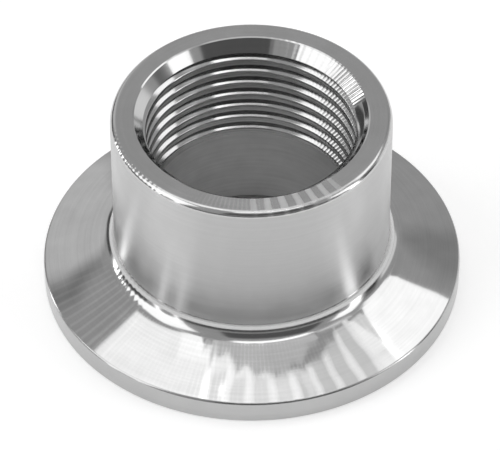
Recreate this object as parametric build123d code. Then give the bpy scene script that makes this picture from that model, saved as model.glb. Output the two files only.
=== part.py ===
from build123d import *
import os
from math import atan, ceil, cos, degrees, radians, tan

# Sanitary clamp ferrule, turned from bar in one piece.
# A clamp flange with a gasket groove in its face stands below, and a round hub with a taper pipe thread rises from it.
# Millimetres. +Z runs up the bore, and the origin is the centre of the flange face that the gasket lies on.

# Overall sizes
flange_diameter = 50.5
overall_length = 25.4

# Clamp flange: the rim is cylindrical and the clamp's jaws ride on the cone behind it
rim_thickness = 2.85
clamp_cone_angle = 20.0
rim_back_radius = 0.35
rim_face_radius = 0.20
cone_fillet_radius = 2.0

# Gasket groove in the flange face
groove_land_width = 3.45
groove_opening_width = 3.4
groove_depth = 1.6
groove_wall_angle = 20.0
groove_bottom_radius = 1.1
groove_lip_radius = 0.2

# Through bore, and the break at its foot
bore_diameter = 24.1
foot_chamfer = 0.75

# Mouth of the hub: a countersink, a small break on its upper edge, and a flat ring round it
countersink_width = 1.38
countersink_half_angle = 45.0
mouth_edge_break = 0.09
face_ring_width = 2.65
hub_edge_radius = 0.8

# Taper pipe thread: 3/4 inch nominal, 14 threads to the inch, 1 in 16 on the diameter
threads_per_inch = 14
taper_ratio = 1 / 16
thread_length = 14.1
flank_half_angle = 30.0
crest_flat_share = 0.40
root_flat_share = 0.055
thread_end_margin = 0.16
thread_end_bearing = -28.0

# The cutting of the thread: the tool leaves the wall over the run-out, and its heel overlaps the air of the bore
turns_per_cut = 2
runout_turn = 35.0
heel_overlap = 0.25

# Sizes that follow
flange_radius = flange_diameter / 2
bore_radius = bore_diameter / 2
taper_slope = taper_ratio / 2
taper_start_height = overall_length - thread_length
pitch = 25.4 / threads_per_inch
thread_gap = pitch * (1 - crest_flat_share)
thread_end_height = taper_start_height + thread_gap / 2 + thread_end_margin
thread_depth = pitch * (1 - crest_flat_share - root_flat_share) / (2 * tan(radians(flank_half_angle)))


def crest_radius(height):
    """Radius of the thread's crests, which is also the tapered bore before threading."""
    return bore_radius + (height - taper_start_height) * taper_slope


countersink_slope = tan(radians(countersink_half_angle))
mouth_radius = crest_radius(overall_length) + countersink_width
countersink_foot_height = (mouth_radius - crest_radius(0) - overall_length * countersink_slope) / (
    taper_slope - countersink_slope
)
hub_radius = mouth_radius + mouth_edge_break + face_ring_width
cone_top_height = rim_thickness + (flange_radius - hub_radius) * tan(radians(clamp_cone_angle))


def corner(sketch, x, y):
    """The vertex of a sketch that lies nearest to a point of the section."""
    return sketch.vertices().sort_by_distance(Vector(x, y, 0))[0]


def body_section():
    """Half section of the turned body, right of the axis, with its corners rounded."""
    break_top = mouth_radius + mouth_edge_break
    break_foot = overall_length - mouth_edge_break
    outline = Polyline(
        (bore_radius + foot_chamfer, 0),
        (flange_radius, 0),
        (flange_radius, rim_thickness),
        (hub_radius, cone_top_height),
        (hub_radius, overall_length),
        (break_top, overall_length),
        (mouth_radius - mouth_edge_break * countersink_slope, break_foot),
        (crest_radius(countersink_foot_height), countersink_foot_height),
        (bore_radius, taper_start_height),
        (bore_radius, foot_chamfer),
        close=True,
    )
    section = make_face(outline)
    section = fillet(corner(section, hub_radius, cone_top_height), cone_fillet_radius)
    section = fillet(corner(section, hub_radius, overall_length), hub_edge_radius)
    section = fillet(corner(section, flange_radius, rim_thickness), rim_back_radius)
    return fillet(corner(section, flange_radius, 0), rim_face_radius)


def gasket_groove_section():
    """Section of the gasket groove, with flared walls, a round bottom and rounded lips."""
    centre = flange_radius - groove_land_width
    half_gap = groove_opening_width / 2
    half_floor = half_gap - groove_depth * tan(radians(groove_wall_angle))
    below = groove_lip_radius * 4
    outline = Polyline(
        (centre - half_gap - below, -below),
        (centre - half_gap - below, 0),
        (centre - half_gap, 0),
        (centre - half_floor, groove_depth),
        (centre + half_floor, groove_depth),
        (centre + half_gap, 0),
        (centre + half_gap + below, 0),
        (centre + half_gap + below, -below),
        close=True,
    )
    section = make_face(outline)
    for side in (-1, 1):
        section = fillet(corner(section, centre + side * half_floor, groove_depth), groove_bottom_radius)
        section = fillet(corner(section, centre + side * half_gap, 0), groove_lip_radius)
    return section


def thread_cutter(height, radius, rise, cone_angle):
    """Solid swept by the point of the threading tool along a stretch of conical helix that rises from a height."""
    path = Helix(pitch / cos(radians(cone_angle)), rise, radius, cone_angle=cone_angle)
    half_heel = thread_gap / 2 + heel_overlap * tan(radians(flank_half_angle))
    half_root = pitch * root_flat_share / 2
    point = Polyline(
        (-heel_overlap, -half_heel),
        (thread_depth, -half_root),
        (thread_depth, half_root),
        (-heel_overlap, half_heel),
        close=True,
    )
    start = Plane(origin=path @ 0, x_dir=(1, 0, 0), z_dir=path % 0)
    return Pos(0, 0, height) * sweep(start * make_face(point), path=path, is_frenet=True)


def cut_thread(blank):
    """Cuts the groove from its inner end out through the mouth, a few turns at a time, and then its run-out."""
    cut_rise = pitch * turns_per_cut
    taper_angle = degrees(atan(taper_slope))
    threaded = blank
    for cut in range(ceil((overall_length + pitch - thread_end_height) / cut_rise)):
        height = thread_end_height + cut * cut_rise
        cutter = thread_cutter(height, crest_radius(height), cut_rise, taper_angle)
        threaded -= Rot(0, 0, thread_end_bearing) * cutter
    runout_rise = pitch * runout_turn / 360
    withdrawal_angle = degrees(atan(thread_depth / runout_rise))
    inner_radius = crest_radius(thread_end_height) - thread_depth
    runout = thread_cutter(thread_end_height - runout_rise, inner_radius, runout_rise, withdrawal_angle)
    return threaded - Rot(0, 0, thread_end_bearing - runout_turn) * runout


os.makedirs("parts", exist_ok=True)
ferrule = revolve(Plane.XZ * body_section(), axis=Axis.Z)
ferrule -= revolve(Plane.XZ * gasket_groove_section(), axis=Axis.Z)
ferrule = cut_thread(ferrule)
export_step(ferrule, "parts/ferrule.step")
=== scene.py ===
"""A turned stainless clamp ferrule, dressed and lit as in its photograph.

Lengths are metres, and the frame is the CAD part's own: +Z runs up the bore, and the flange face that the
gasket lies on is at z = 0. The near side of the photograph is -Y, and +X is on its right.
"""
import logging
from dataclasses import dataclass, field, fields
from enum import Enum
from math import cos, pi, radians, sin, tan
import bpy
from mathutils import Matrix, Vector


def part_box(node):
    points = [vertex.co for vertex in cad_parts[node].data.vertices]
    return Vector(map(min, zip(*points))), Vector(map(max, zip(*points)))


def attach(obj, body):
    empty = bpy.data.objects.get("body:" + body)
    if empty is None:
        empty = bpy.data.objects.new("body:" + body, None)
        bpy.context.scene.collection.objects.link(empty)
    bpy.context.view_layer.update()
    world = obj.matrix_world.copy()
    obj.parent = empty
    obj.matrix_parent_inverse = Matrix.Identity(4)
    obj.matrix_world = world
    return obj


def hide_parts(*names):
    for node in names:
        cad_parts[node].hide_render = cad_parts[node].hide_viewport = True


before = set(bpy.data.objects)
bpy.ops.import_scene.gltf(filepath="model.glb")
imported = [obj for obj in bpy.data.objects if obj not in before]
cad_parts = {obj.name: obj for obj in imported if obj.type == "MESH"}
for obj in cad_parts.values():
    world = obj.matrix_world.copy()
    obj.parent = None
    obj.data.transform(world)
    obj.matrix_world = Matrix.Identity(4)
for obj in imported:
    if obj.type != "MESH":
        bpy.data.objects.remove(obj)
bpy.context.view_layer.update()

from types import SimpleNamespace
from typing import Any

import bpy
from mathutils import Matrix, Vector

LOG = logging.getLogger("ferrule")
NODE = "ferrule"
BODY = "root"

MM = 0.001
QUARTER_TURN = 0.25
WHITE = (1.0, 1.0, 1.0, 1.0)
CAD_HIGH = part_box(NODE)[1]


class Zone(Enum):
    """The differently worked surfaces of the ferrule."""

    HUB_WALL = 0
    HUB_EDGE = 1
    CLAMP_CONE = 2
    FOOT_FILLET = 3
    RIM = 4
    MOUTH_RING = 5
    THREAD = 6
    CREST = 7
    COUNTERSINK = 8
    BORE = 9
    GASKET_FACE = 10


@dataclass(frozen=True)
class FerruleSizes:
    """Sizes of the turned body and its thread, each of which becomes a named input of the node tree."""

    flange_radius: float = CAD_HIGH.x
    overall_length: float = CAD_HIGH.z
    rim_thickness: float = 2.85 * MM
    clamp_cone_slope: float = tan(radians(20.0))
    rim_back_radius: float = 0.35 * MM
    rim_face_radius: float = 0.20 * MM
    cone_fillet_radius: float = 2.0 * MM
    cone_hollow_radius: float = 76.0 * MM
    cone_hollow_depth: float = 0.16 * MM
    groove_land_width: float = 3.45 * MM
    groove_half_opening: float = 1.7 * MM
    groove_depth: float = 1.6 * MM
    groove_wall_slope: float = tan(radians(20.0))
    groove_bottom_radius: float = 1.1 * MM
    groove_lip_radius: float = 0.2 * MM
    bore_radius: float = 12.05 * MM
    foot_chamfer: float = 0.75 * MM
    countersink_width: float = 1.38 * MM
    mouth_edge_break: float = 0.09 * MM
    face_ring_width: float = 2.65 * MM
    hub_edge_radius: float = 0.8 * MM
    thread_length: float = 14.1 * MM
    pitch: float = 25.4 / 14 * MM
    taper_slope: float = 1 / 32
    crest_flat_share: float = 0.40
    crest_edge_radius: float = 0.19 * MM
    root_flat_share: float = 0.055
    flank_slope: float = tan(radians(30.0))
    thread_end_margin: float = 0.16 * MM
    thread_end_bearing: float = radians(-28.0)
    runout_turn: float = 35.0 / 360
    heel_overlap: float = 0.25 * MM


class Wiring:
    """Adds nodes to one tree and links them."""

    def __init__(self, tree: bpy.types.NodeTree) -> None:
        """Keeps the tree that the nodes go into."""
        self.tree = tree

    def feed(self, socket: bpy.types.NodeSocket, value: Any) -> None:
        """Links a socket to another, or sets it to a plain value.

        Args:
            socket: The input that is fed.
            value: A Term, an output socket or a plain value.
        """
        source = value.socket if isinstance(value, Term) else value
        if isinstance(source, bpy.types.NodeSocket):
            self.tree.links.new(source, socket)
        else:
            socket.default_value = source

    def node(self, kind: str, inputs: dict[Any, Any] | None = None, **settings: Any) -> bpy.types.Node:
        """Adds one node.

        Args:
            kind: The node's type name.
            inputs: Values or sockets for its inputs, by name or by index.
            settings: Properties of the node.

        Returns:
            The new node.
        """
        made = self.tree.nodes.new(kind)
        for name, setting in settings.items():
            setattr(made, name, setting)
        for key, value in (inputs or {}).items():
            self.feed(made.inputs[key], value)
        return made

    def term(self, socket: bpy.types.NodeSocket) -> "Term":
        """Wraps an output socket for arithmetic."""
        return Term(self, socket)

    def math(self, operation: str, *values: Any) -> "Term":
        """Makes a Math node of an operation and its inputs in order."""
        made = self.node("ShaderNodeMath", dict(enumerate(values)), operation=operation)
        return self.term(made.outputs[0])

    def clamp(self, value: Any) -> "Term":
        """Keeps a number between 0 and 1."""
        return self.math("MINIMUM", self.math("MAXIMUM", value, 0.0), 1.0)

    def join(self, x: Any, y: Any, z: Any) -> "Term":
        """Makes a vector of three numbers."""
        return self.term(self.node("ShaderNodeCombineXYZ", {0: x, 1: y, 2: z}).outputs[0])

    def split(self, vector: Any) -> tuple["Term", "Term", "Term"]:
        """Takes a vector apart into its three numbers."""
        parts = self.node("ShaderNodeSeparateXYZ", {0: vector}).outputs
        return self.term(parts[0]), self.term(parts[1]), self.term(parts[2])


@dataclass(frozen=True)
class Term:
    """A number inside a node tree, whose arithmetic adds Math nodes to the tree."""

    wiring: Wiring
    socket: bpy.types.NodeSocket

    def __add__(self, other: Any) -> "Term":
        """Adds a number."""
        return self.wiring.math("ADD", self, other)

    def __radd__(self, other: Any) -> "Term":
        """Is added to a number."""
        return self.wiring.math("ADD", other, self)

    def __sub__(self, other: Any) -> "Term":
        """Subtracts a number."""
        return self.wiring.math("SUBTRACT", self, other)

    def __rsub__(self, other: Any) -> "Term":
        """Is subtracted from a number."""
        return self.wiring.math("SUBTRACT", other, self)

    def __mul__(self, other: Any) -> "Term":
        """Multiplies by a number."""
        return self.wiring.math("MULTIPLY", self, other)

    def __rmul__(self, other: Any) -> "Term":
        """Multiplies a number."""
        return self.wiring.math("MULTIPLY", other, self)

    def __truediv__(self, other: Any) -> "Term":
        """Divides by a number."""
        return self.wiring.math("DIVIDE", self, other)

    def __gt__(self, other: Any) -> "Term":
        """Is 1 where it is greater than a number, and 0 elsewhere."""
        return self.wiring.math("GREATER_THAN", self, other)

    def __lt__(self, other: Any) -> "Term":
        """Is 1 where it is less than a number, and 0 elsewhere."""
        return self.wiring.math("LESS_THAN", self, other)


@dataclass(frozen=True)
class Surface:
    """Where a point of a turned surface lies, as the lathe sees it.

    The travel is how far the tool came along its path, and the reach is the distance from the axis. Around
    is the angle about the axis in radians, and across and along are that angle's place on a unit circle.
    """

    travel: Term
    reach: Term
    around: Term
    across: Term
    along: Term


@dataclass(frozen=True)
class Chatter:
    """Waves round the axis that the tool left where it shook, strongest about one bearing.

    The bearing is in degrees from the near side towards +X, and the waves fade out at so many spreads, also
    in degrees, to either side of it. The lean is how many radians they shift for each millimetre of the
    tool's path. The scuff is how much rougher the crests are. The painted highlight is how much brighter
    their colour is painted, standing in for the lamps' reflection in them, and a focus below 1 widens both.
    Both stay off a smooth disc, where one is given. The waves stray from their even pitch by so many
    radians, and that changes along the tool's path and round the axis.
    """

    waves: float
    depth: float
    bearing: float
    spread: float
    lean: float = 0.0
    scuff: float = 0.0
    # Painted highlight: how much brighter the crests' colour is painted.
    burnish: float = 0.0
    focus: float = 1.0
    smooth_centre: tuple[float, float] = (0.0, 0.0)
    smooth_radius: float = 0.0
    smooth_edge: float = 0.9 * MM
    fade_end: float = 1.6
    stray: float = 2.5
    stray_length: float = 4.0 * MM
    stray_change: float = 3.0

    def wave(self, wiring: Wiring, surface: Surface) -> Term:
        """Adds the waves to a material.

        Args:
            wiring: The material's tree.
            surface: The point's place on the surface.

        Returns:
            The waves, from -1 to 1 where they are strongest.
        """
        turned = surface.around - radians(self.bearing - 90.0)
        away = wiring.math("ABSOLUTE", wiring.math("WRAP", turned, pi, -pi))
        strength = wiring.clamp(self.fade_end - away / radians(self.spread))
        patch = wiring.join(
            surface.travel / self.stray_length,
            surface.across * self.stray_change,
            surface.along * self.stray_change,
        )
        lag = surface.travel * (self.lean / MM) + noise(wiring, patch, 1.0, 1.0) * self.stray
        return wiring.math("SINE", turned * self.waves + lag) * strength

    def crest(self, wiring: Wiring, surface: Surface, wave: Term) -> Term:
        """Picks out the crests of the waves outside the smooth disc.

        Args:
            wiring: The material's tree.
            surface: The point's place on the surface.
            wave: The waves.

        Returns:
            The crests, from 0 to 1.
        """
        crests = wiring.math("POWER", wiring.math("MAXIMUM", wave, 0.0), self.focus)
        if self.smooth_radius == 0.0:
            return crests
        aside = surface.across * surface.reach - self.smooth_centre[0]
        ahead = surface.along * surface.reach - self.smooth_centre[1]
        away = wiring.math("SQRT", aside * aside + ahead * ahead)
        return crests * wiring.clamp((away - self.smooth_radius) / self.smooth_edge)


def noise(wiring: Wiring, vector: Any, scale: float, detail: float) -> Term:
    """Reads a noise texture at a place, with so many features to the unit and so many finer layers."""
    texture = wiring.node("ShaderNodeTexNoise", {"Vector": vector, "Scale": scale, "Detail": detail})
    return wiring.term(texture.outputs[0])


@dataclass(frozen=True)
class TurnedFinish:
    """Stainless steel as one cut of the lathe left it.

    The tool's path across the surface runs along a direction in the plane through the axis, and its feed
    marks are rings across that path. Soft clouds lie over them. The mottle is how much the clouds change the
    tone, and the rings change it by a share of that.
    """

    name: str
    path: tuple[float, float] = (0.0, 1.0)
    tone: float = 0.56
    roughness: float = 0.24
    anisotropy: float = 0.75
    ring_size: float = 0.35 * MM
    ring_depth: float = 1.2e-6
    ring_change: float = 1.3
    ring_roughness: float = 0.25
    ring_mottle_share: float = 0.8
    cloud_size: float = 3.0 * MM
    cloud_roughness: float = 0.35
    mottle: float = 0.12
    chatter: tuple[Chatter, ...] = ()

    def material(self) -> bpy.types.Material:
        """Builds the finish as a node material.

        Returns:
            The material, named for the finish.
        """
        made = bpy.data.materials.new(self.name)
        made.use_nodes = True
        made.node_tree.nodes.clear()
        wiring = Wiring(made.node_tree)
        place = wiring.node("ShaderNodeTexCoord").outputs["Object"]
        x, y, height = wiring.split(place)
        reach = wiring.math("SQRT", x * x + y * y)
        travel = reach * self.path[0] + height * self.path[1]
        surface = Surface(travel, reach, wiring.math("ARCTAN2", y, x), x / reach, y / reach)
        rings = self._rings(wiring, surface)
        clouds = noise(wiring, place, 1 / self.cloud_size, 2.0)
        ring_swing = rings - 0.5
        cloud_swing = clouds - 0.5
        relief = rings * self.ring_depth
        uneven = 1.0 + cloud_swing * self.cloud_roughness + ring_swing * self.ring_roughness
        rough = self.roughness * uneven
        # shade multiplies the tone: the mottle's change of tone, with the chatter's painted highlight added
        # below.
        shade = 1.0 + ring_swing * (self.mottle * self.ring_mottle_share) + cloud_swing * self.mottle
        for chatter in self.chatter:
            wave = chatter.wave(wiring, surface)
            relief = relief + wave * chatter.depth
            # The crests' scuff roughens them, and their painted highlight paints their colour brighter.
            if chatter.scuff or chatter.burnish:
                crest = chatter.crest(wiring, surface, wave)
                rough = rough + crest * chatter.scuff
                shade = shade + crest * chatter.burnish
        bump = wiring.node("ShaderNodeBump", {"Strength": 1.0, "Distance": 1.0, "Height": relief})
        grey = shade * self.tone
        shader = wiring.node(
            "ShaderNodeBsdfPrincipled",
            {
                "Base Color": wiring.join(grey, grey, grey),
                "Metallic": 1.0,
                "Roughness": rough,
                "Anisotropic": self.anisotropy,
                "Anisotropic Rotation": QUARTER_TURN,
                "Normal": bump.outputs[0],
                "Tangent": wiring.node("ShaderNodeTangent", direction_type="RADIAL", axis="Z").outputs[0],
            },
        )
        wiring.node("ShaderNodeOutputMaterial", {"Surface": shader.outputs[0]})
        return made

    def _rings(self, wiring: Wiring, surface: Surface) -> Term:
        """Adds the feed marks, from 0 to 1, which run round the axis and change slowly on the way."""
        place = wiring.join(
            surface.travel / self.ring_size,
            surface.across * self.ring_change,
            surface.along * self.ring_change,
        )
        return noise(wiring, place, 1.0, 2.0)


CONE_SMOOTH_CENTRE = (2.9 * MM, -14.3 * MM)

# Each chatter's painted highlight paints its crests' colour brighter, standing in for lamps reflected in
# them.
FINISHES: dict[Zone, TurnedFinish] = {
    Zone.HUB_WALL: TurnedFinish("hub_wall_turned", roughness=0.32, anisotropy=0.9, mottle=0.16),
    Zone.HUB_EDGE: TurnedFinish(
        "hub_edge_rounded",
        path=(0.7, 0.7),
        roughness=0.15,
        chatter=(
            Chatter(waves=140.0, depth=9e-6, bearing=-60.0, spread=16.0),
            Chatter(waves=56.0, depth=3e-6, bearing=20.0, spread=16.0, scuff=0.1, burnish=0.2),
        ),
    ),
    Zone.CLAMP_CONE: TurnedFinish(
        "clamp_cone_turned",
        path=(0.94, -0.34),
        roughness=0.06,
        anisotropy=0.3,
        ring_size=0.25 * MM,
        ring_depth=0.5e-6,
        mottle=0.2,
        chatter=(
            Chatter(
                waves=56.0,
                depth=8e-6,
                bearing=-1.0,
                spread=12.0,
                scuff=0.05,
                burnish=0.28,
                focus=0.8,
                smooth_centre=CONE_SMOOTH_CENTRE,
                smooth_radius=7.0 * MM,
            ),
            Chatter(
                waves=56.0,
                depth=3e-6,
                bearing=24.5,
                spread=12.0,
                scuff=0.15,
                burnish=0.5,
                focus=0.8,
                smooth_centre=CONE_SMOOTH_CENTRE,
                smooth_radius=6.6 * MM,
            ),
            Chatter(waves=124.0, depth=0.4e-6, bearing=-60.0, spread=12.0, scuff=0.05, burnish=0.15),
            Chatter(waves=270.0, depth=0.0, bearing=-20.0, spread=40.0, scuff=0.03, burnish=0.03),
        ),
    ),
    Zone.FOOT_FILLET: TurnedFinish(
        "foot_fillet_turned",
        path=(0.7, -0.7),
        roughness=0.14,
        anisotropy=0.5,
        chatter=(Chatter(waves=124.0, depth=9e-6, bearing=-59.0, spread=9.0),),
    ),
    Zone.RIM: TurnedFinish("rim_turned", tone=0.5, roughness=0.2),
    Zone.MOUTH_RING: TurnedFinish(
        "mouth_ring_faced",
        path=(1.0, 0.0),
        roughness=0.2,
        anisotropy=0.8,
        chatter=(
            Chatter(waves=56.0, depth=4e-6, bearing=20.0, spread=14.0, scuff=0.35, burnish=0.3, focus=0.6),
            Chatter(waves=190.0, depth=0.5e-6, bearing=-8.0, spread=14.0, scuff=0.05, burnish=0.05),
        ),
    ),
    Zone.THREAD: TurnedFinish(
        "thread_flank_cut",
        path=(0.9, 0.4),
        roughness=0.13,
        anisotropy=0.6,
        chatter=(Chatter(waves=150.0, depth=9e-6, bearing=124.0, spread=16.0, lean=1.5, scuff=0.2),),
    ),
    Zone.CREST: TurnedFinish("thread_crest_bored", roughness=0.15),
    Zone.COUNTERSINK: TurnedFinish(
        "countersink_cut",
        path=(0.7, 0.7),
        roughness=0.1,
        anisotropy=0.5,
        chatter=(
            Chatter(waves=150.0, depth=9e-6, bearing=121.0, spread=12.0, lean=3.0, scuff=0.35),
            Chatter(waves=84.0, depth=2e-6, bearing=148.0, spread=18.0, scuff=0.16),
        ),
    ),
    # The bore's tone is raised above the rest of the steel, painted light that brightens the shaded bore
    # wall.
    Zone.BORE: TurnedFinish("bore_wall_bored", tone=0.72, roughness=0.33, mottle=0.3),
    Zone.GASKET_FACE: TurnedFinish("gasket_face_turned", path=(1.0, 0.0), roughness=0.2),
}


@dataclass
class Ferrule:
    """The turned body: a lathe section swept round the axis, less the path of a threading tool.

    The threading tool's shoulders reach past the groove's edges by a share of those edges' rounding, and
    stay off the crests by another share of it. The foot fillet's finish covers a share of the fillet, and
    the rim's finish starts at a share of its back edge. Two surfaces are told apart by a hair.
    """

    sizes: FerruleSizes = field(default_factory=FerruleSizes)
    columns: int = 360
    body_arc_points: int = 8
    tool_arc_points: int = 4
    shoulder_share: float = 2.0
    shoulder_lift_share: float = 0.08
    foot_fillet_share: float = 0.63
    rim_edge_share: float = 0.9
    hair: float = 0.01 * MM
    sharp_angle: float = 17.0
    face_weight: int = 100
    piece: bpy.types.Object | None = None

    def build(self) -> None:
        """Makes the piece's mesh from its node tree."""
        tree = bpy.data.node_groups.new("turned_ferrule", "GeometryNodeTree")
        wiring = Wiring(tree)
        given = self._inputs(wiring)
        tree.interface.new_socket(name="Geometry", in_out="OUTPUT", socket_type="NodeSocketGeometry")
        body = self._lathe(wiring, given)
        cutter = self._thread_cutter(wiring, given)
        cut = wiring.node("GeometryNodeMeshBoolean", operation="DIFFERENCE", solver="EXACT")
        wiring.feed(cut.inputs["Mesh 1"], body)
        wiring.feed(cut.inputs["Mesh 2"], cutter)
        dressed = self._dress_zones(wiring, given, cut.outputs["Mesh"])
        wiring.node("NodeGroupOutput", {0: dressed})
        self.piece = self._evaluate(tree)

    def dress(self) -> None:
        """Shades the surfaces smooth between their sharp edges."""
        mesh = self.piece.data
        mesh.shade_smooth()
        mesh.set_sharp_from_angle(angle=radians(self.sharp_angle))
        weighted = self.piece.modifiers.new("even_shading", "WEIGHTED_NORMAL")
        weighted.mode = "FACE_AREA"
        weighted.weight = self.face_weight
        weighted.keep_sharp = True

    def _inputs(self, wiring: Wiring) -> SimpleNamespace:
        """Gives the tree a named input for each size.

        Args:
            wiring: The body's tree.

        Returns:
            The inputs by the names of their sizes.
        """
        names = [entry.name for entry in fields(self.sizes)]
        for name in names:
            label = name.replace("_", " ").capitalize()
            wiring.tree.interface.new_socket(name=label, in_out="INPUT", socket_type="NodeSocketFloat")
        source = wiring.node("NodeGroupInput")
        given = {name: wiring.term(source.outputs[place]) for place, name in enumerate(names)}
        return SimpleNamespace(**given)

    def _corner_curve(
        self, wiring: Wiring, corners: list[tuple[Any, Any, Any]], origin: Any, arc_points: int
    ) -> Any:
        """Draws a closed section through corners, with its rounded corners as arcs.

        Args:
            wiring: The body's tree.
            corners: The distance from the axis, the height and the rounding of each corner, in order.
            origin: The distance from the axis at which the section's own origin lies.
            arc_points: How many points each rounded corner gets.

        Returns:
            The section's curve. Its y axis runs down, because a swept section hangs from its path that way.
        """
        ring = wiring.node("GeometryNodeCurvePrimitiveCircle", {"Resolution": len(corners)}, mode="RADIUS")
        index = wiring.node("GeometryNodeInputIndex").outputs[0]
        places = wiring.node("GeometryNodeIndexSwitch", data_type="VECTOR")
        radii = wiring.node("GeometryNodeIndexSwitch", data_type="FLOAT")
        for switch in (places, radii):
            while len(switch.index_switch_items) < len(corners):
                switch.index_switch_items.new()
            wiring.feed(switch.inputs[0], index)
        for number, (reach, height, radius) in enumerate(corners):
            wiring.feed(places.inputs[1 + number], wiring.join(reach - origin, 0.0 - height, 0.0))
            wiring.feed(radii.inputs[1 + number], radius)
        placed = wiring.node(
            "GeometryNodeSetPosition",
            {"Geometry": ring.outputs[0], "Position": places.outputs[0]},
        )
        rounded = wiring.node(
            "GeometryNodeFilletCurve",
            {
                "Curve": placed.outputs[0],
                "Count": arc_points,
                "Radius": radii.outputs[0],
                "Limit Radius": True,
            },
            mode="POLY",
        )
        return rounded.outputs[0]

    def _sweep(self, wiring: Wiring, path: Any, section: Any) -> Any:
        """Sweeps a section along a path that runs round the axis, and caps its ends.

        Args:
            wiring: The body's tree.
            path: The path's curve.
            section: The section's curve.

        Returns:
            The swept mesh.
        """
        upright = wiring.node("GeometryNodeSetCurveNormal", {"Curve": path}, mode="Z_UP")
        swept = wiring.node(
            "GeometryNodeCurveToMesh",
            {"Curve": upright.outputs[0], "Profile Curve": section, "Fill Caps": True},
        )
        return swept.outputs[0]

    def _lathe(self, wiring: Wiring, given: SimpleNamespace) -> Any:
        """Turns the body before threading.

        Args:
            wiring: The body's tree.
            given: The tree's named sizes.

        Returns:
            The body's mesh.
        """
        path = wiring.node(
            "GeometryNodeCurvePrimitiveCircle",
            {"Resolution": self.columns, "Radius": given.bore_radius},
            mode="RADIUS",
        )
        corners = self._body_corners(given)
        section = self._corner_curve(wiring, corners, given.bore_radius, self.body_arc_points)
        return self._sweep(wiring, path.outputs[0], section)

    def _body_corners(self, given: SimpleNamespace) -> list[tuple[Any, Any, Any]]:
        """Lists the corners of the body's half section.

        Args:
            given: The tree's named sizes.

        Returns:
            The distance from the axis, the height and the rounding radius of each corner.
        """
        length = given.overall_length
        taper_start = length - given.thread_length
        mouth = given.bore_radius + given.thread_length * given.taper_slope + given.countersink_width
        break_top = mouth + given.mouth_edge_break
        hub = break_top + given.face_ring_width
        cone_low = given.rim_thickness
        cone_top = cone_low + (given.flange_radius - hub) * given.clamp_cone_slope
        cone_middle = (given.flange_radius + hub) / 2.0
        hollow_height = (cone_low + cone_top) / 2.0 - given.cone_hollow_depth
        foot_depth = given.countersink_width / (1.0 - given.taper_slope)
        groove = given.flange_radius - given.groove_land_width
        half_floor = given.groove_half_opening - given.groove_depth * given.groove_wall_slope
        return [
            (given.bore_radius + given.foot_chamfer, 0.0, 0.0),
            (groove - given.groove_half_opening, 0.0, given.groove_lip_radius),
            (groove - half_floor, given.groove_depth, given.groove_bottom_radius),
            (groove + half_floor, given.groove_depth, given.groove_bottom_radius),
            (groove + given.groove_half_opening, 0.0, given.groove_lip_radius),
            (given.flange_radius, 0.0, given.rim_face_radius),
            (given.flange_radius, given.rim_thickness, given.rim_back_radius),
            (cone_middle, hollow_height, given.cone_hollow_radius),
            (hub, cone_top, given.cone_fillet_radius),
            (hub, length, given.hub_edge_radius),
            (break_top, length, 0.0),
            (mouth - given.mouth_edge_break, length - given.mouth_edge_break, 0.0),
            (mouth - foot_depth, length - foot_depth, 0.0),
            (given.bore_radius, taper_start, 0.0),
            (given.bore_radius, given.foot_chamfer, 0.0),
        ]

    def _thread_cutter(self, wiring: Wiring, given: SimpleNamespace) -> Any:
        """Sweeps the threading tool's point along its conical spiral, from the run-out up past the mouth.

        Args:
            wiring: The body's tree.
            given: The tree's named sizes.

        Returns:
            The cutter's mesh.
        """
        gap = given.pitch * (1.0 - given.crest_flat_share)
        depth = (gap - given.pitch * given.root_flat_share) / (given.flank_slope * 2.0)
        taper_start = given.overall_length - given.thread_length
        end_height = taper_start + gap / 2.0 + given.thread_end_margin
        start_height = end_height - given.pitch * given.runout_turn
        turns = (given.overall_length + given.pitch - start_height) / given.pitch
        start_radius = given.bore_radius + (start_height - taper_start) * given.taper_slope
        spiral = wiring.node(
            "GeometryNodeCurveSpiral",
            {
                "Resolution": self.columns,
                "Rotations": turns,
                "Start Radius": start_radius,
                "End Radius": start_radius + turns * given.pitch * given.taper_slope,
                "Height": turns * given.pitch,
                "Reverse": True,
            },
        )
        x, y, _ = wiring.split(wiring.node("GeometryNodeInputPosition").outputs[0])
        reach = wiring.math("SQRT", x * x + y * y)
        index = wiring.term(wiring.node("GeometryNodeInputIndex").outputs[0])
        engaged = wiring.clamp(index / (given.runout_turn * float(self.columns)))
        withdrawn = (engaged - 1.0) * depth
        offset = wiring.join(x / reach * withdrawn, y / reach * withdrawn, 0.0)
        drawn = wiring.node("GeometryNodeSetPosition", {"Geometry": spiral.outputs[0], "Offset": offset})
        section = self._tool_section(wiring, given, gap, depth)
        swept = self._sweep(wiring, drawn.outputs[0], section)
        placed = wiring.node(
            "GeometryNodeTransform",
            {
                "Geometry": swept,
                "Translation": wiring.join(0.0, 0.0, start_height),
                "Rotation": wiring.join(0.0, 0.0, given.thread_end_bearing - given.runout_turn * (2 * pi)),
            },
        )
        return placed.outputs[0]

    def _tool_section(self, wiring: Wiring, given: SimpleNamespace, gap: Term, depth: Term) -> Any:
        """Draws the threading tool's point, whose shoulders round the crests' edges.

        Args:
            wiring: The body's tree.
            given: The tree's named sizes.
            gap: The width of the groove at the crests.
            depth: The depth of the groove.

        Returns:
            The section's curve, with its origin at the crests' surface.
        """
        radius = given.crest_edge_radius
        half_gap = gap / 2.0
        half_root = given.pitch * given.root_flat_share / 2.0
        shoulder = half_gap + radius * self.shoulder_share
        heel = 0.0 - given.heel_overlap
        lift = 0.0 - radius * self.shoulder_lift_share
        corners = [
            (heel, shoulder, 0.0),
            (lift, shoulder, 0.0),
            (0.0, half_gap, radius),
            (depth, half_root, 0.0),
            (depth, 0.0 - half_root, 0.0),
            (0.0, 0.0 - half_gap, radius),
            (lift, 0.0 - shoulder, 0.0),
            (heel, 0.0 - shoulder, 0.0),
        ]
        return self._corner_curve(wiring, corners, 0.0, self.tool_arc_points)

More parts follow.
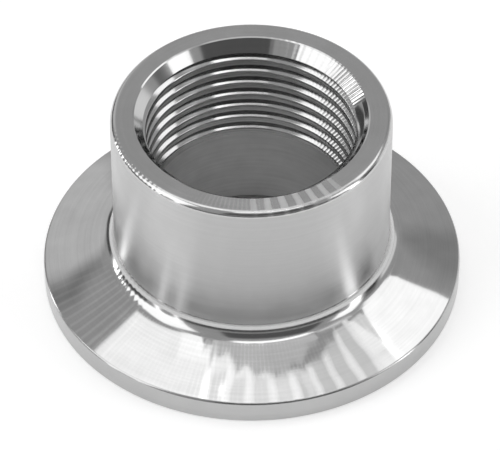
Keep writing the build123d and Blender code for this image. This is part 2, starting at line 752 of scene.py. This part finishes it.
    def _dress_zones(self, wiring: Wiring, given: SimpleNamespace, mesh: Any) -> Any:
        """Gives each worked surface its finish by where its faces lie.

        Args:
            wiring: The body's tree.
            given: The tree's named sizes.
            mesh: The threaded body.

        Returns:
            The mesh with its materials set.
        """
        hair = self.hair
        x, y, height = wiring.split(wiring.node("GeometryNodeInputPosition").outputs[0])
        reach = wiring.math("SQRT", x * x + y * y)
        length = given.overall_length
        taper_start = length - given.thread_length
        crest = given.bore_radius + wiring.math("MAXIMUM", height - taper_start, 0.0) * given.taper_slope
        mouth = given.bore_radius + given.thread_length * given.taper_slope + given.countersink_width
        hub = mouth + given.mouth_edge_break + given.face_ring_width
        fillet_end = hub + given.cone_fillet_radius * self.foot_fillet_share
        foot = given.bore_radius + given.foot_chamfer
        rim_side = given.flange_radius - given.rim_back_radius * self.rim_edge_share
        outside = reach > hub + hair
        above_hub_edge = height > length - given.hub_edge_radius
        inside = reach < mouth + given.mouth_edge_break
        threaded = inside * (height > taper_start)
        sunk = height - length + mouth
        on_countersink = (reach < sunk + hair * 2.0) * (reach > sunk - hair * 2.0)
        on_edge_break = height > length - given.mouth_edge_break
        on_face = (height < given.groove_depth + hair) * (reach < rim_side)
        tests: list[tuple[Zone, Term]] = [
            (Zone.HUB_WALL, (reach > hub - hair) * (reach < hub + hair)),
            (Zone.HUB_EDGE, (reach < hub - hair) * above_hub_edge * (1.0 - inside)),
            (Zone.CLAMP_CONE, outside * (height > given.rim_thickness - given.rim_back_radius)),
            (Zone.FOOT_FILLET, outside * (reach < fillet_end) * (height > given.rim_thickness)),
            (Zone.RIM, reach > rim_side),
            (Zone.MOUTH_RING, (height > length - hair) * (reach > mouth)),
            (Zone.THREAD, threaded * (reach > crest + hair)),
            (Zone.CREST, threaded * (reach < crest + hair)),
            (Zone.COUNTERSINK, inside * (on_countersink + on_edge_break)),
            (Zone.BORE, (reach < foot) * (height < taper_start)),
            (Zone.GASKET_FACE, (reach > foot - hair) * on_face),
        ]
        realized = wiring.node("GeometryNodeRealizeInstances", {"Geometry": mesh}).outputs[0]
        for zone, chosen in tests:
            realized = wiring.node(
                "GeometryNodeSetMaterial",
                {"Geometry": realized, "Selection": chosen, "Material": FINISHES[zone].material()},
            ).outputs[0]
        return realized

    def _evaluate(self, tree: bpy.types.NodeTree) -> bpy.types.Object:
        """Runs the tree with this ferrule's sizes and keeps its result as a plain mesh.

        Args:
            tree: The body's tree.

        Returns:
            The finished object, with no modifier on it.
        """
        holder = bpy.data.objects.new("ferrule_turning", bpy.data.meshes.new("blank"))
        bpy.context.scene.collection.objects.link(holder)
        modifier = holder.modifiers.new("turning", "NODES")
        modifier.node_group = tree
        wanted = [entry.name for entry in fields(self.sizes)]
        sockets = [item for item in tree.interface.items_tree if item.in_out == "INPUT"]
        for name, socket in zip(wanted, sockets):
            modifier[socket.identifier] = float(getattr(self.sizes, name))
        graph = bpy.context.evaluated_depsgraph_get()
        mesh = bpy.data.meshes.new_from_object(holder.evaluated_get(graph), depsgraph=graph)
        holder.modifiers.clear()
        mesh.name = "ferrule_turned"
        piece = bpy.data.objects.new("ferrule_turned", mesh)
        bpy.context.scene.collection.objects.link(piece)
        bpy.data.objects.remove(holder)
        return piece


class Wall(Enum):
    """The side of the studio that a lamp hangs on, with the direction in which it shines."""

    CEILING = (0.0, 0.0, -1.0)
    LEFT = (1.0, 0.0, 0.0)
    RIGHT = (-1.0, 0.0, 0.0)


@dataclass(frozen=True)
class Softbox:
    """A soft rectangular lamp that lies flat on one side of the studio.

    Its width runs along X on the ceiling and along Y on a wall, and its turn is in degrees about the
    direction in which it shines.
    """

    name: str
    wall: Wall
    place: tuple[float, float, float]
    width: float
    height: float
    radiance: float
    turn: float = 0.0

    def hang(self) -> None:
        """Adds the lamp to the scene."""
        lamp = bpy.data.lights.new(self.name, "AREA")
        lamp.shape = "RECTANGLE"
        lamp.size = self.width
        lamp.size_y = self.height
        lamp.energy = self.radiance * pi * self.width * self.height
        holder = bpy.data.objects.new(self.name, lamp)
        bpy.context.scene.collection.objects.link(holder)
        facing = Vector(self.wall.value)
        level = facing.to_track_quat("-Z", "Y").to_matrix()
        turned = Matrix.Rotation(radians(self.turn), 3, facing) @ level
        holder.location = self.place
        holder.rotation_euler = turned.to_euler()
        holder.visible_camera = False


@dataclass(frozen=True)
class Card:
    """A pale or dark card of the room, between two bearings and two elevations in degrees."""

    name: str
    bearings: tuple[float, float]
    elevations: tuple[float, float]
    level: float
    edge: float = 3.0

    def shade(self, wiring: Wiring, bearing: Term, height: Term, level: Any) -> Term:
        """Paints the card over the room's level.

        Args:
            wiring: The room's tree.
            bearing: The bearing of the direction, in radians.
            height: The sine of its elevation.
            level: The level behind the card.

        Returns:
            The level with the card.
        """
        soft = radians(self.edge)
        left = wiring.clamp((bearing - radians(self.bearings[0])) / soft)
        right = wiring.clamp((radians(self.bearings[1]) - bearing) / soft)
        foot = wiring.clamp((height - sin(radians(self.elevations[0]))) / soft)
        head = wiring.clamp((sin(radians(self.elevations[1])) - height) / soft)
        return level + (self.level - level) * (left * right * foot * head)


@dataclass
class Studio:
    """The pale floor, the soft lamps, the grey room and the camera.

    The floor glows towards the camera, so that it shows white, and towards the metal, where it glows more
    strongly far out. It doesn't glow under the object, which paints shade there on top of the lamps' own
    shadow.
    """

    camera_distance: float = 0.4404
    camera_elevation: float = 44.64
    camera_roll: float = -0.19
    camera_side_step: float = -0.20 * MM
    look_at_height: float = 7.38 * MM
    lens: float = 262.9
    sensor_width: float = 36.0
    floor_half_width: float = 3.0
    floor_tone: float = 0.8
    camera_glow: float = 0.45
    near_glow: float = 0.42
    far_glow: float = 0.72
    far_glow_start: float = 0.1
    far_glow_width: float = 0.4
    # The glow stops inside this radius, a painted shade on the floor under the object.
    footprint_radius: float = 24.0 * MM
    footprint_edge: float = 1.0 * MM
    room_level: float = 0.45
    lamps: tuple[Softbox, ...] = (
        Softbox("overhead_left_softbox", Wall.CEILING, (-0.1805, 0.1035, 0.5), 0.145, 0.245, 1.06, -42.0),
        Softbox("overhead_softbox", Wall.CEILING, (-0.0136, 0.13, 0.497), 0.18, 0.2395, 0.82, -11.3),
        Softbox("overhead_right_softbox", Wall.CEILING, (0.1616, 0.1649, 0.497), 0.173, 0.2395, 0.5, -11.3),
        Softbox("right_back_softbox", Wall.CEILING, (0.4313, 0.2340, 0.505), 0.348, 0.264, 1.22, 19.9),
        Softbox("front_fill", Wall.CEILING, (0.025, -0.02, 0.51), 0.29, 0.08, 0.32),
        Softbox("left_fill", Wall.CEILING, (-0.155, 0.005, 0.51), 0.07, 0.07, 0.2, -42.0),
        Softbox("right_fill", Wall.CEILING, (0.268, 0.13, 0.51), 0.06, 0.075, 0.6, -39.7),
        Softbox("front_strip", Wall.CEILING, (0.075, -0.10, 0.51), 0.27, 0.08, 1.9),
        Softbox("right_strip", Wall.CEILING, (0.265, 0.015, 0.51), 0.15, 0.07, 0.5, -39.7),
        Softbox("left_softbox", Wall.LEFT, (-0.5, -0.16, 0.6), 0.52, 0.8, 1.35),
        Softbox("right_softbox", Wall.RIGHT, (0.5, -0.14, 0.37), 0.21, 0.30, 1.35),
    )
    cards: tuple[Card, ...] = (
        Card("camera_side", (-24.0, 54.0), (22.0, 62.0), 0.12),
        Card("back_left_pale", (-168.0, -137.5), (12.0, 42.0), 0.72, 4.0),
        Card("back_left_dark", (-142.0, -134.5), (34.0, 56.0), 0.24, 4.0),
        Card("back_right_dark", (139.0, 153.0), (24.0, 46.0), 0.33, 5.0),
        Card("right_middle_dark", (86.0, 103.0), (14.0, 32.0), 0.2, 4.0),
        Card("right_low_dark", (86.0, 103.0), (-3.0, 18.0), 0.04, 4.0),
        Card("right_low_pale", (104.0, 138.0), (0.0, 19.0), 1.0),
        Card("right_high_grey", (80.0, 99.0), (53.0, 67.0), 0.75),
        Card("left_floor_edge", (-150.0, -122.0), (-3.0, 18.0), 0.08),
        Card("left_front_edge", (-106.0, -78.0), (-3.0, 18.0), 0.1),
        Card("front_floor_edge", (-50.0, 66.0), (-3.0, 18.0), 0.1),
        Card("left_stand", (-120.0, -111.0), (-3.0, 30.0), 5.0, 4.0),
        Card("left_middle_stand", (-74.0, -67.0), (-3.0, 26.0), 2.5),
        Card("left_front_stand", (-57.5, -52.5), (-3.0, 22.0), 3.0),
        Card("right_stand", (73.0, 85.0), (-3.0, 28.0), 3.6),
    )

    def build(self) -> None:
        """Sets up the whole studio."""
        self._camera()
        for lamp in self.lamps:
            lamp.hang()
        self._floor()
        self._room()
        bpy.context.scene.view_settings.view_transform = "Standard"

    def _camera(self) -> None:
        """Places the camera where the photograph's circles put it."""
        rise = radians(self.camera_elevation)
        back = Vector((0.0, -cos(rise), sin(rise)))
        side = Vector((1.0, 0.0, 0.0))
        up = back.cross(side)
        roll = radians(self.camera_roll)
        right = side * cos(roll) + up * sin(roll)
        top = up * cos(roll) - side * sin(roll)
        place = back * self.camera_distance + Vector((self.camera_side_step, 0.0, self.look_at_height))
        lens = bpy.data.cameras.new("photo_camera")
        lens.lens = self.lens
        lens.sensor_width = self.sensor_width
        camera = bpy.data.objects.new("photo_camera", lens)
        axes = Matrix((right, top, back)).transposed()
        camera.matrix_world = Matrix.Translation(place) @ axes.to_4x4()
        bpy.context.scene.collection.objects.link(camera)
        bpy.context.scene.camera = camera

    def _floor(self) -> None:
        """Lays a pale floor that the camera and the metal see as white, with the object's shadow on it."""
        mesh = bpy.data.meshes.new("floor")
        half = self.floor_half_width
        corners = [(-half, -half, 0.0), (half, -half, 0.0), (half, half, 0.0), (-half, half, 0.0)]
        mesh.from_pydata(corners, [], [(0, 1, 2, 3)])
        floor = bpy.data.objects.new("floor", mesh)
        bpy.context.scene.collection.objects.link(floor)
        paint = bpy.data.materials.new("floor_paint")
        paint.use_nodes = True
        paint.node_tree.nodes.clear()
        wiring = Wiring(paint.node_tree)
        tone = self.floor_tone
        matt = wiring.node("ShaderNodeBsdfDiffuse", {"Color": (tone, tone, tone, 1.0)})
        x, y, _ = wiring.split(wiring.node("ShaderNodeTexCoord").outputs["Object"])
        reach = wiring.math("SQRT", x * x + y * y)
        # The floor doesn't glow under the object: painted shade there.
        outside_painted_shade = wiring.clamp((reach - self.footprint_radius) / self.footprint_edge)
        far = wiring.clamp((reach - self.far_glow_start) / self.far_glow_width)
        metal_glow = far * (self.far_glow - self.near_glow) + self.near_glow
        ray = wiring.node("ShaderNodeLightPath").outputs
        to_camera = wiring.term(ray["Is Camera Ray"]) * self.camera_glow
        to_metal = wiring.term(ray["Is Glossy Ray"]) * metal_glow
        strength = (to_camera + to_metal) * outside_painted_shade
        glow = wiring.node("ShaderNodeEmission", {"Color": WHITE, "Strength": strength})
        both = wiring.node("ShaderNodeAddShader", {0: matt.outputs[0], 1: glow.outputs[0]})
        wiring.node("ShaderNodeOutputMaterial", {"Surface": both.outputs[0]})
        mesh.materials.append(paint)

    def _room(self) -> None:
        """Fills the room with grey light and its cards, and shows the camera white behind the floor."""
        world = bpy.data.worlds.new("grey_room")
        bpy.context.scene.world = world
        world.use_nodes = True
        world.node_tree.nodes.clear()
        wiring = Wiring(world.node_tree)
        x, y, height = wiring.split(wiring.node("ShaderNodeTexCoord").outputs["Generated"])
        bearing = wiring.math("ARCTAN2", x, 0.0 - y)
        level: Any = self.room_level
        for card in self.cards:
            level = card.shade(wiring, bearing, height, level)
        seen = wiring.term(wiring.node("ShaderNodeLightPath").outputs["Is Camera Ray"])
        strength = level + (1.0 - level) * seen
        light = wiring.node("ShaderNodeBackground", {"Color": WHITE, "Strength": strength})
        wiring.node("ShaderNodeOutputWorld", {"Surface": light.outputs[0]})


def main() -> None:
    """Builds the ferrule and its studio in order."""
    logging.basicConfig(level=logging.INFO, format="%(name)s: %(message)s")
    Studio().build()
    ferrule = Ferrule()
    ferrule.build()
    ferrule.dress()
    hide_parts(NODE)
    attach(ferrule.piece, BODY)
    LOG.info("%s has %d faces", ferrule.piece.name, len(ferrule.piece.data.polygons))


if __name__ == "__main__":
    main()
